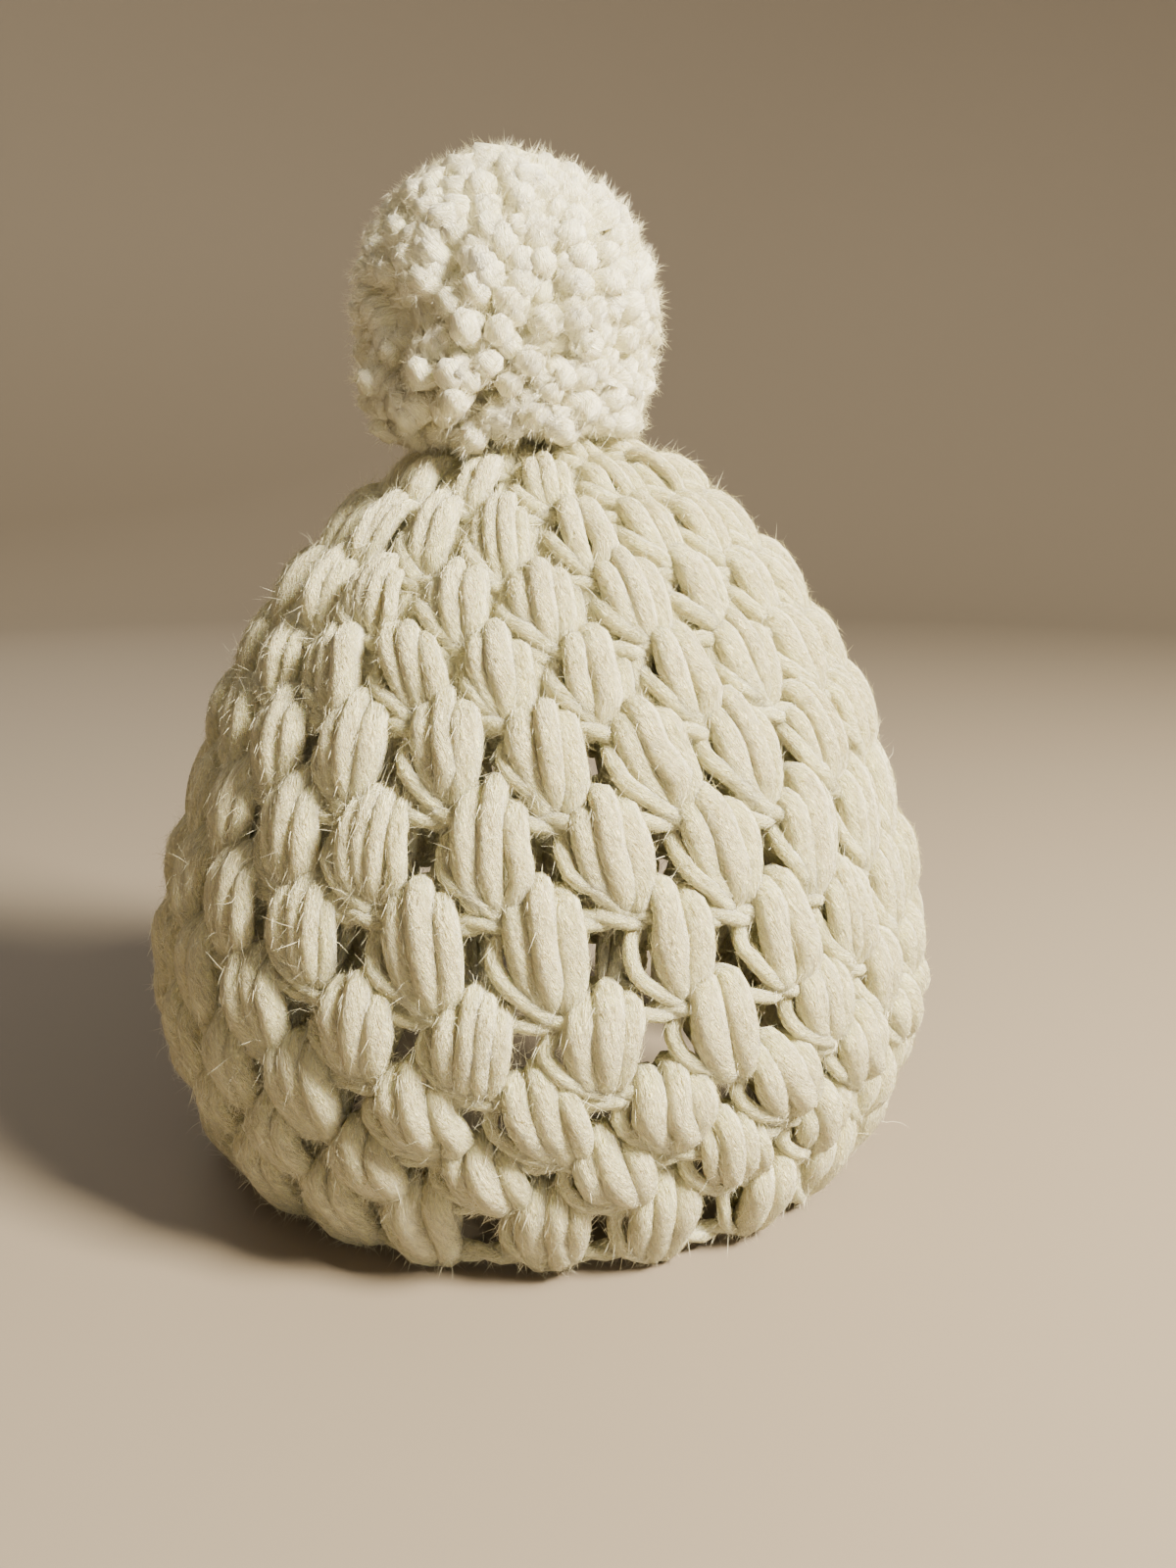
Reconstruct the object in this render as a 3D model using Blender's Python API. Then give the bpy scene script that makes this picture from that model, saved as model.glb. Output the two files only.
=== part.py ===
"""A tea cosy crocheted in the round in very thick yarn, with a pompom on its crown.

The body is one hollow piece of crochet. Each round is a row of raised puffs, set half a stitch off
the round above, with a gap between neighbouring puffs. One slot lets the handle out at -X, and one
lets the spout out at +X. The crown is drawn in and closed under the pompom.

The origin is the middle of the hem, on the surface that the cosy stands on. The front faces -Y.
"""

import math
import random

import bmesh
import bpy
from mathutils import Matrix, Vector

MM = 0.001

# Each round from the crown down: its height above the hem and its radius over the puffs (mm), how many
# puffs go round, and how far the puffs are turned from facing the front (in stitches).
#         name        height  radius  puffs  turned
ROUNDS = (
    ("start",         160.0,    7.0,     8,   0.0),
    ("crown inner",   159.4,   19.0,     9,   0.5),
    ("crown outer",   154.0,   31.5,    14,   0.0),
    ("shoulder 1",    144.8,   43.5,    18,   0.5),
    ("shoulder 2",    132.2,   55.5,    20,   0.0),
    ("side 1",        119.7,   64.5,    22,   0.5),
    ("side 2",        105.3,   72.6,    22,   0.0),
    ("side 3",         88.7,   79.2,    22,   0.5),
    ("side 4",         71.9,   84.5,    22,   0.0),
    ("side 5",         55.3,   88.2,    22,   0.5),
    ("side 6",         39.6,   88.7,    22,   0.0),
    ("side 7",         24.8,   85.8,    22,   0.5),
    ("last",           12.2,   81.2,    22,   0.0),
    ("hem",             0.0,   76.0,    22,   0.0),
)
FIRST_SHOULDER, FIRST_SIDE, LAST, HEM = 3, 5, 12, 13
DRAWN_IN_AT = 0.4  # rounds down, where the crown is pulled shut
FIRST_OPEN, LAST_OPEN = 6, 11  # the rounds whose gaps are wide enough to see through
STITCHES = 22  # puffs in a full round, and the unit of every place across the cloth

# The cloth: a puff stands out from the chain between puffs, and the inner face is smooth.
PUFF_RISE = 7.0 * MM
CLOTH_THICK = 13.0 * MM
PUFF_HALF_WIDE = 0.42  # stitches
PUFF_HALF_TALL = 0.64  # rounds
GAP_HALF_WIDE = 0.12  # stitches
CREST_HALF_WIDE = 0.19  # stitches
PLAIN_HALF_WIDE = 0.125  # stitches, where the points of a ring are evenly spaced
CHAIN_RISE = 0.12  # of a puff's rise
PUFF_UNEVEN = 0.5 * MM

# Where a ring of points crosses each round, in rounds below its middle: over the puff's shoulder, at
# the gap's top edge and at its bottom edge.
SHOULDER_AT, GAP_TOP_AT, GAP_BOTTOM_AT = -0.38, -0.06, 0.42

# Each slot: the stitch it opens beside, the places down the cloth where it starts and ends (rounds),
# and how far the cloth is pushed open to each side at its middle (stitches).
#    name      stitch  starts           ends                 opens
SLOTS = (
    ("spout",       5, 7 + SHOULDER_AT, 10 + GAP_BOTTOM_AT,   0.60),
    ("handle",     16, 6 + SHOULDER_AT, 11 + GAP_TOP_AT,      0.34),
)
SLOT_PUSH_REACH = 3.3  # stitches over which the cloth beside a slot is drawn together
SLOT_EDGE_RISE = 0.55  # of a puff's rise

# The pompom: a tied core, flat where it sits on the crown, with cut locks all round.
POM_MIDDLE = Vector((-7.0, 0.0, 183.8)) * MM
POM_RADIUS = 34.8 * MM
POM_CORE_RADIUS = 24.0 * MM
POM_SEAT_GAP = 0.3 * MM  # over the crown
POM_CORE_DROP = 28.0 * MM  # from the middle to the core's underside, before the seat flattens it
LOCKS = 210
LOCK_ROOT_RADIUS = 1.9 * MM
LOCK_TIP_RADIUS = 3.3 * MM
LOCK_SINK = 2.5 * MM  # how deep a lock's root goes into the core
LOCK_UNEVEN = 0.12  # of a lock's length
LOCK_SWIRL = 0.30  # sideways lean of a lock, for each unit of its length
LOCK_CLEARANCE = 2.0 * MM  # from the crown

CREAM = (0.87, 0.84, 0.72)
POM_CREAM = (0.90, 0.88, 0.80)


def clear_scene():
    for thing in list(bpy.data.objects):
        bpy.data.objects.remove(thing, do_unlink=True)


def yarn_material(name, colour):
    material = bpy.data.materials.new(name)
    material.use_nodes = True
    shader = material.node_tree.nodes["Principled BSDF"]
    shader.inputs["Base Color"].default_value = (*colour, 1.0)
    shader.inputs["Roughness"].default_value = 0.95
    shader.inputs["Metallic"].default_value = 0.0
    material.diffuse_color = (*colour, 1.0)
    return material


def section(down):
    """(radius, height) in metres on the smooth curve over the puffs, down the cloth in rounds."""
    first = min(max(int(down), 0), HEM - 1)
    near = [ROUNDS[min(max(first + step, 0), HEM)] for step in (-1, 0, 1, 2)]
    t = down - first
    weights = (
        (-t + 2 * t**2 - t**3) / 2,
        (2 - 5 * t**2 + 3 * t**3) / 2,
        (t + 4 * t**2 - 3 * t**3) / 2,
        (t**3 - t**2) / 2,
    )
    height = sum(weight * row[1] for weight, row in zip(weights, near))
    radius = sum(weight * row[2] for weight, row in zip(weights, near))
    return radius * MM, height * MM


def outward(down):
    """The cloth's outward direction there, as (radial, up), level at the hem."""
    if down == HEM:
        return 1.0, 0.0
    step = 0.05
    above, below = section(down - step), section(down + step)
    run, drop = below[0] - above[0], above[1] - below[1]
    long = math.hypot(run, drop)
    return drop / long, run / long


def wrapped(across):
    """A distance across the cloth in stitches, taken the short way round."""
    return (across + STITCHES / 2) % STITCHES - STITCHES / 2


def pushed_open(across, down):
    """The place across the cloth once each slot has drawn the stitches beside it aside."""
    for _, stitch, starts, ends, opens in SLOTS:
        along = (2 * down - starts - ends) / (ends - starts)
        beside = wrapped(across - stitch - 0.5)
        if abs(along) < 1 and 0 < abs(beside) < SLOT_PUSH_REACH:
            push = opens * math.sqrt(1 - along**2) * (1 - abs(beside) / SLOT_PUSH_REACH)
            across += math.copysign(push, beside)
    return across


def cloth_point(across, down, depth):
    """A point of the cloth, that deep under the curve over the puffs."""
    radius, height = section(down)
    radial, up = outward(down)
    radius, height = radius - depth * radial, height - depth * up
    angle = 2 * math.pi * pushed_open(across, down) / STITCHES
    return Vector((radius * math.sin(angle), -radius * math.cos(angle), height))


def puff_rise(across, down):
    """How far the crochet stands out there, from the chain between puffs to 1 on a puff's middle."""
    best = CHAIN_RISE
    for index in (int(down), int(down) + 1):
        if not 0 <= index <= LAST:
            continue
        _, _, _, puffs, turned = ROUNDS[index]
        beside = (across / STITCHES * puffs - turned + 0.5) % 1 - 0.5
        edge = (abs(beside) / PUFF_HALF_WIDE) ** 3 + (abs(down - index) / PUFF_HALF_TALL) ** 3
        best = max(best, math.sqrt(max(1 - edge, 0.0)))
    return best


def puffs_face_front(index):
    return ROUNDS[index][4] == 0.0


def at_slot(stitch, down):
    """Whether a slot opens in that stitch there."""
    return any(stitch == beside and starts <= down <= ends for _, beside, starts, ends, _ in SLOTS)


def beside_slot(index, across):
    """Whether a gap there would run into a slot."""
    return any(
        starts - 0.5 < index < ends + 0.5 and abs(wrapped(across - stitch - 0.5)) < 0.75
        for _, stitch, starts, ends, _ in SLOTS
    )


def rings_of(index):
    """Where the rings of points cross a round, in rounds down the cloth."""
    if index == 0:
        return [DRAWN_IN_AT]
    if index < FIRST_SHOULDER:
        return [index, index + 0.5]
    return [index + SHOULDER_AT, index + GAP_TOP_AT, index + GAP_BOTTOM_AT]


def outer_across(index):
    """Four places for each stitch: two beside the front-facing puff's place, two beside the next."""
    front, between = CREST_HALF_WIDE, GAP_HALF_WIDE
    if not puffs_face_front(index):
        front, between = between, front
    if index < FIRST_SIDE:
        front = between = PLAIN_HALF_WIDE
    places = []
    for stitch in range(STITCHES):
        places += [stitch - front, stitch + front, stitch + 0.5 - between, stitch + 0.5 + between]
    return places


def inner_across(index, down):
    """Two places for each stitch, at the edges of its gap, or at a slot's edge."""
    places = []
    for stitch in range(STITCHES):
        half = 0.5 - GAP_HALF_WIDE
        if puffs_face_front(index):
            half = GAP_HALF_WIDE
        elif at_slot(stitch, down):
            half = CREST_HALF_WIDE
        places += [stitch + 0.5 - half, stitch + 0.5 + half]
    return places


def outer_ring(mesh, index, down, uneven):
    ring = []
    for place, across in enumerate(outer_across(index)):
        rise = 1.0 if down == DRAWN_IN_AT else puff_rise(across, down)
        if place % 4 >= 2 and at_slot(place // 4, down):
            rise = SLOT_EDGE_RISE
        depth = PUFF_RISE * (1 - rise)
        if SLOT_EDGE_RISE < rise < 1:
            depth += uneven.uniform(0, PUFF_UNEVEN)
        ring.append(mesh.verts.new(cloth_point(across, down, depth)))
    return ring


def inner_ring(mesh, index, down):
    return [mesh.verts.new(cloth_point(a, down, CLOTH_THICK)) for a in inner_across(index, down)]


def gaps_of(index):
    """(outer column, inner column) left of each gap in a round."""
    if not FIRST_OPEN <= index <= LAST_OPEN:
        return []
    if puffs_face_front(index):
        found = [(s + 0.5, 4 * s + 2, 2 * s) for s in range(STITCHES)]
    else:
        found = [(float(s), 4 * s, (2 * s - 1) % (2 * STITCHES)) for s in range(STITCHES)]
    return [(outer, inner) for across, outer, inner in found if not beside_slot(index, across)]


def all_openings(levels):
    """(top ring, bottom ring, outer column, inner column) of each gap and slot."""
    found = []
    for index in range(FIRST_OPEN, LAST_OPEN + 1):
        top = levels.index(index + GAP_TOP_AT)
        found += [(top, top + 1, outer, inner) for outer, inner in gaps_of(index)]
    for _, stitch, starts, ends, _ in SLOTS:
        found.append((levels.index(starts), levels.index(ends), 4 * stitch + 2, 2 * stitch))
    return found


def skin(mesh, rings, left_out):
    """Faces between each ring and the next, but for the (ring, column) pairs left out."""
    for row, (upper, lower) in enumerate(zip(rings, rings[1:])):
        for column in range(len(upper)):
            if (row, column) in left_out:
                continue
            after = (column + 1) % len(upper)
            mesh.faces.new((upper[column], upper[after], lower[after], lower[column]))


def edge_of(rings, column, top, bottom):
    """The points round an opening: down its left side, and up its right side."""
    after = (column + 1) % len(rings[0])
    down_left = [rings[row][column] for row in range(top, bottom + 1)]
    up_right = [rings[row][after] for row in range(bottom, top - 1, -1)]
    return down_left + up_right


def line_opening(mesh, outside, inside):
    """The yarn round one opening, from its edge on the outer face to its edge on the inner one."""
    for step in range(len(outside)):
        after = (step + 1) % len(outside)
        mesh.faces.new((outside[step], outside[after], inside[after], inside[step]))


def close_hem(mesh, outer_hem, inner_hem):
    """The level underside: a face below each gap of the last round, and one below each puff."""
    for stitch in range(STITCHES):
        gap = outer_hem[4 * stitch + 2 : 4 * stitch + 4]
        puff = [outer_hem[(4 * stitch + 3 + step) % len(outer_hem)] for step in range(4)]
        left, right = inner_hem[2 * stitch], inner_hem[2 * stitch + 1]
        next_left = inner_hem[(2 * stitch + 2) % len(inner_hem)]
        mesh.faces.new((*gap, right, left))
        mesh.faces.new((*puff, next_left, right))


def build_body(collection):
    """The crocheted body: its outer and inner faces, joined at the hem and round each opening."""
    uneven = random.Random(7)
    mesh = bmesh.new()
    levels, outer, inner = [], [], []
    for index in range(LAST + 1):
        for down in rings_of(index):
            levels.append(down)
            outer.append(outer_ring(mesh, index, down, uneven))
            inner.append(inner_ring(mesh, index, down))
    levels.append(HEM)
    outer.append(outer_ring(mesh, LAST, HEM, uneven))
    inner.append(inner_ring(mesh, LAST, HEM))

    openings = all_openings(levels)
    skin(mesh, outer, {(row, o) for top, end, o, _ in openings for row in range(top, end)})
    skin(mesh, inner, {(row, i) for top, end, _, i in openings for row in range(top, end)})
    for top, end, o, i in openings:
        line_opening(mesh, edge_of(outer, o, top, end), edge_of(inner, i, top, end))

    mesh.faces.new(outer[0])
    mesh.faces.new(inner[0])
    close_hem(mesh, outer[-1], inner[-1])
    bmesh.ops.recalc_face_normals(mesh, faces=mesh.faces)
    return add_object(mesh, "cosy_body", yarn_material("cream_crochet", CREAM), collection)


def add_object(mesh, name, material, collection):
    data = bpy.data.meshes.new(name)
    mesh.to_mesh(data)
    mesh.free()
    data.materials.append(material)
    thing = bpy.data.objects.new(name, data)
    collection.objects.link(thing)
    return thing


def crown_height(radius):
    """The crown's height at that distance from the axis."""
    down = 0.0
    while down < FIRST_SIDE and section(down)[0] < radius:
        down += 0.05
    return section(down)[1]


def lock_directions():
    """Directions spread evenly over the ball."""
    golden_turn = math.pi * (3 - math.sqrt(5))
    for number in range(LOCKS):
        up = 1 - (2 * number + 1) / LOCKS
        flat = math.sqrt(1 - up**2)
        yield Vector((flat * math.cos(number * golden_turn), flat * math.sin(number * golden_turn), up))


def lock_length(direction, uneven):
    """From the core's face to the lock's tip, cut short where it would meet the crown."""
    length = (POM_RADIUS - POM_CORE_RADIUS) * (1 - uneven.uniform(0, LOCK_UNEVEN))
    while length > 0:
        tip = POM_MIDDLE + direction * (POM_CORE_RADIUS + length)
        lowest = tip.z - LOCK_TIP_RADIUS
        if lowest > crown_height(math.hypot(tip.x, tip.y)) + LOCK_CLEARANCE:
            return length
        length -= 1.0 * MM
    return 0.0


def build_locks(collection):
    """All the locks, apart from each other, ready to be joined to the core."""
    uneven = random.Random(11)
    mesh = bmesh.new()
    for direction in lock_directions():
        length = lock_length(direction, uneven)
        if length < LOCK_SINK:
            continue
        sideways = Vector((0, 0, 1)).cross(direction) * LOCK_SWIRL
        along = (direction + sideways * uneven.uniform(0.3, 1.0)).normalized()
        root = POM_MIDDLE + direction * (POM_CORE_RADIUS - LOCK_SINK)
        turn = along.to_track_quat("Z", "Y").to_matrix().to_4x4()
        deep = length + LOCK_SINK
        place = Matrix.Translation(root + along * deep / 2) @ turn
        bmesh.ops.create_cone(
            mesh,
            cap_ends=True,
            segments=4,
            radius1=LOCK_ROOT_RADIUS,
            radius2=LOCK_TIP_RADIUS,
            depth=deep,
            matrix=place @ Matrix.Rotation(uneven.uniform(0, math.pi), 4, "Z"),
        )
    locks = add_object(mesh, "locks", yarn_material("lock_cream", POM_CREAM), collection)
    locks.hide_render = True
    locks.display_type = "WIRE"
    return locks


def build_pompom(collection, cutters):
    """The tied core, flattened where it sits on the crown, with the locks joined to it."""
    mesh = bmesh.new()
    bmesh.ops.create_icosphere(mesh, subdivisions=2, radius=POM_CORE_RADIUS)
    seat = section(DRAWN_IN_AT)[1] + POM_SEAT_GAP
    for vertex in mesh.verts:
        if vertex.co.z < 0:
            vertex.co.z *= POM_CORE_DROP / POM_CORE_RADIUS
        vertex.co += POM_MIDDLE
        vertex.co.z = max(vertex.co.z, seat)
    pompom = add_object(mesh, "pompom", yarn_material("cream_pompom", POM_CREAM), collection)
    join = pompom.modifiers.new("locks", "BOOLEAN")
    join.operation = "UNION"
    join.object = build_locks(cutters)
    return pompom


def main():
    clear_scene()
    collection = bpy.data.collections.new("tea_cosy")
    cutters = bpy.data.collections.new("cutters")
    for group in (collection, cutters):
        bpy.context.scene.collection.children.link(group)
    build_body(collection)
    build_pompom(collection, cutters)


main()
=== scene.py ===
"""A tea cosy crocheted in very thick cream yarn, with a pompom on its crown.

Every loop, chain and lock of yarn is a tube of its own, laid along a smooth line and joined with
its neighbours into a few pieces. Fine hairs stand out from them, as they do from the real yarn.
"""

import math

import bmesh
import bpy
import numpy as np
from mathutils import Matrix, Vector


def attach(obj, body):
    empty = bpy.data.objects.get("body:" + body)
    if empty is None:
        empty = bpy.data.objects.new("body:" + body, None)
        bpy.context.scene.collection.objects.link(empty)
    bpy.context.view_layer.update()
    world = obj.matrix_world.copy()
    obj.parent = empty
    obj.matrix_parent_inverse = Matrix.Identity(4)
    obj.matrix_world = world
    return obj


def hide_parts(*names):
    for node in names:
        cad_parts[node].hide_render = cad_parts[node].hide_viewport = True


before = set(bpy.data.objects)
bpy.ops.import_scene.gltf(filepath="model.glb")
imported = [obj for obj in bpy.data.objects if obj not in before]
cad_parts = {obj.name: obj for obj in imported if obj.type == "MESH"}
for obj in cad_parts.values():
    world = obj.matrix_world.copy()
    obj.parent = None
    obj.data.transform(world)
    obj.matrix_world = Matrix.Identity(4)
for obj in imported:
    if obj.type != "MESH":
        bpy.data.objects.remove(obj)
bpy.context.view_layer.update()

# ---------------------------------------------------------------------------------------------
# The upper rounds: puff stitches from the crown to the first side round, one piece of crochet.
# Each puff is a bundle of long loops hung on the chain of the round above, and drawn together at
# its foot by the chain of its own round. It is soft single-ply yarn, cream, slightly twisted.

MM = 0.001
ABOVE_FLOOR = 0.1 * MM  # no point of the cosy lies lower
STITCHES = 22  # puffs in a full round, and the unit of every place across the cloth
HEM = 13
# The last row lies past the floor's level, so that the lowest loops sag until they rest on it.
#    height  radius  puffs  turned from the front (mm, mm, number, stitches)
ROUNDS = (
    (160.0,    7.0,    8,   0.0),
    (159.4,   19.0,    9,   0.5),
    (154.0,   31.5,   14,   0.0),
    (144.8,   43.5,   18,   0.5),
    (132.2,   55.5,   20,   0.0),
    (119.7,   64.5,   22,   0.5),
    (105.3,   72.6,   22,   0.0),
    ( 88.7,   79.2,   22,   0.5),
    ( 71.9,   84.5,   22,   0.0),
    ( 55.3,   88.2,   22,   0.5),
    ( 39.6,   88.7,   22,   0.0),
    ( 24.8,   85.8,   22,   0.5),
    ( 12.2,   81.2,   22,   0.0),
    ( -4.4,   74.3,   22,   0.0),
)
# Each slot: the stitch it opens beside, the rounds where it starts and ends, and how far the cloth
# is pushed open to each side (stitches). The wide slot is at +X and the tall, narrow one at -X.
WIDE_SLOT = (5, 6.62, 10.37, 0.60)
TALL_SLOT = (16, 5.62, 10.97, 0.34)
SLOT_PUSH_REACH = 3.3  # stitches
# Hand work wavers a little from stitch to stitch, but not at the crown or the hem.
WAVER_DOWN = 0.05  # rounds
WAVER_ACROSS = 0.06  # stitches


def curve(points, where):
    """A smooth line through the given points: at that many places, or at those places on it."""
    points = np.asarray(points, float)
    last = len(points) - 1
    if isinstance(where, int):
        where = np.linspace(0, last, where)
    first = np.minimum(where.astype(int), last - 1)
    t = (where - first)[:, None]
    before, start, end, after = (points[np.clip(first + step, 0, last)] for step in (-1, 0, 1, 2))
    pull = (-t + 2 * t**2 - t**3) * before + (t**3 - t**2) * after
    return (pull + (2 - 5 * t**2 + 3 * t**3) * start + (t + 4 * t**2 - 3 * t**3) * end) / 2


section_downs = np.linspace(0, HEM, HEM * 40 + 1)
section_curve = curve([row[:2] for row in ROUNDS], len(section_downs)) * MM
section_slope = np.gradient(section_curve, axis=0)
section_slope /= np.linalg.norm(section_slope, axis=1)[:, None]


def pushed_open(across, down):
    """The place across the cloth once each slot has drawn the stitches beside it aside."""
    moved = np.array(across, float)
    for stitch, starts, ends, opens in (WIDE_SLOT, TALL_SLOT):
        along = (2 * down - starts - ends) / (ends - starts)
        beside = (across - stitch - 0.5 + STITCHES / 2) % STITCHES - STITCHES / 2
        near = (np.abs(along) < 1) & (np.abs(beside) < SLOT_PUSH_REACH)
        push = opens * np.sqrt(np.clip(1 - along**2, 0, 1)) * (1 - np.abs(beside) / SLOT_PUSH_REACH)
        moved += np.where(near, np.copysign(push, beside), 0)
    return moved


def cloth(places):
    """Points in metres, from rows of (stitches across, rounds down, millimetres under the face)."""
    across, down, depth = np.asarray(places, float).T
    unsteady = np.sin(math.pi * np.clip(down / HEM, 0, 1))
    turn = 2 * math.pi * across / STITCHES
    down = down + WAVER_DOWN * unsteady * (np.sin(2 * turn + 0.8 * down) + np.sin(5 * turn - 1.1 * down))
    across = across + WAVER_ACROSS * unsteady * (np.sin(3 * turn + 1.7 * down) + np.sin(1.2 * down))
    height, radius = (np.interp(down, section_downs, column) for column in section_curve.T)
    rise, run = (np.interp(down, section_downs, column) for column in section_slope.T)
    radius = radius + depth * MM * rise
    height = height - depth * MM * run
    angle = 2 * math.pi * pushed_open(across, down) / STITCHES
    return np.stack((radius * np.sin(angle), -radius * np.cos(angle), height), axis=1)


CAP_HEIGHT = 0.5  # how far a tube's blunt end stands out, as a share of its radius
# The way of a tube's first normal, before it is squared to the tube.
FIRST_NORMAL = (0.3, 0.5, 0.8)
LOOSE_TWIST = 24.0  # turns in a metre of yarn that isn't pulled tight


class Skein:
    """Tubes of yarn, gathered up to be joined into one mesh."""

    def __init__(self, seed):
        self.random = np.random.default_rng(seed)
        self.points, self.faces, self.lay, self.deep, self.facing, self.along = [], [], [], [], [], []
        self.count = 0

    def add(self, path, radius, sides, depth, turns_per_metre=LOOSE_TWIST):
        """One tube. Each point keeps where it is in the strand, for the fibres of its material."""
        along = np.gradient(path, axis=0)
        along /= np.linalg.norm(along, axis=1)[:, None]
        normal = np.cross(along[0], FIRST_NORMAL)
        normals = []
        for step in along:
            normal = normal - step * normal.dot(step)
            normal = normal / np.linalg.norm(normal)
            normals.append(normal)
        normals = np.array(normals)
        turn = 2 * math.pi * np.arange(sides) / sides
        sideways = np.cross(along, normals)
        facing = np.cos(turn)[None, :, None] * normals[:, None]
        facing = facing + np.sin(turn)[None, :, None] * sideways[:, None]
        radius = np.broadcast_to(np.asarray(radius, float), len(path)) * MM
        rings = path[:, None] + facing * radius[:, None, None]
        length = np.concatenate(([0], np.cumsum(np.linalg.norm(np.diff(path, axis=0), axis=1))))
        twisted = turn[None, :] + 2 * math.pi * turns_per_metre * length[:, None]
        lay = np.stack(
            (
                np.cos(twisted) * radius[:, None],
                np.sin(twisted) * radius[:, None],
                np.broadcast_to(length[:, None], twisted.shape),
            ),
            axis=2,
        )
        lay += self.random.uniform(0, 1, 3)
        outward = path * (1, 1, 0)
        outward /= np.maximum(np.linalg.norm(outward, axis=1), 1e-9)[:, None]
        under = np.broadcast_to(np.asarray(depth, float), len(path))[:, None]
        # How deep under the cosy's face each point lies: the yarn's painted crevice light follows it, and
        # the loose fibres are placed by it.
        deep = under - np.einsum("nsk,nk->ns", facing, outward) * radius[:, None] / MM

        ring_total = len(path) * sides
        number = self.count + np.arange(ring_total).reshape(len(path), sides)
        after = np.roll(number, -1, axis=1)
        quads = np.stack((number[:-1], after[:-1], after[1:], number[1:]), axis=2)
        self.faces += quads.reshape(-1, 4).tolist()
        first_cap, last_cap = self.count + ring_total, self.count + ring_total + 1
        self.faces += [(first_cap, b, a) for a, b in zip(number[0].tolist(), after[0].tolist())]
        self.faces += [(last_cap, a, b) for a, b in zip(number[-1].tolist(), after[-1].tolist())]
        first_tip = path[0] - along[0] * radius[0] * CAP_HEIGHT
        last_tip = path[-1] + along[-1] * radius[-1] * CAP_HEIGHT
        caps = np.array((first_tip, last_tip))
        self.points.append(np.concatenate((rings.reshape(-1, 3), caps)))
        self.lay.append(np.concatenate((lay.reshape(-1, 3), lay[0, :1], lay[-1, :1])))
        self.deep.append(np.concatenate((deep.reshape(-1), (under[0, 0], under[-1, 0]))))
        self.facing.append(np.concatenate((facing.reshape(-1, 3), -along[:1], along[-1:])))
        self.along.append(np.concatenate((np.repeat(along, sides, axis=0), along[:1], along[-1:])))
        self.count += ring_total + 2

    def piece(self, name, material, node, slot):
        """The tubes as one object, which rides with the cosy and stands for that node."""
        mesh = bpy.data.meshes.new(name)
        points = np.concatenate(self.points)
        points[:, 2] = np.maximum(points[:, 2], ABOVE_FLOOR)
        mesh.from_pydata(points.tolist(), [], self.faces)
        mesh.attributes.new("lay", "FLOAT_VECTOR", "POINT").data.foreach_set(
            "vector", np.concatenate(self.lay).astype(np.float32).ravel()
        )
        mesh.attributes.new("deep", "FLOAT", "POINT").data.foreach_set(
            "value", np.concatenate(self.deep).astype(np.float32)
        )
        mesh.shade_smooth()
        mesh.materials.append(material)
        piece = bpy.data.objects.new(name, mesh)
        bpy.context.scene.collection.objects.link(piece)
        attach(piece, "root")
        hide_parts(node)
        return piece


RELIEF_HEIGHT = 1.4 * MM  # of the fibres' bump
DEEPEST_TONE = 12.0  # mm under the face, where the inside's painted light is reached


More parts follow.
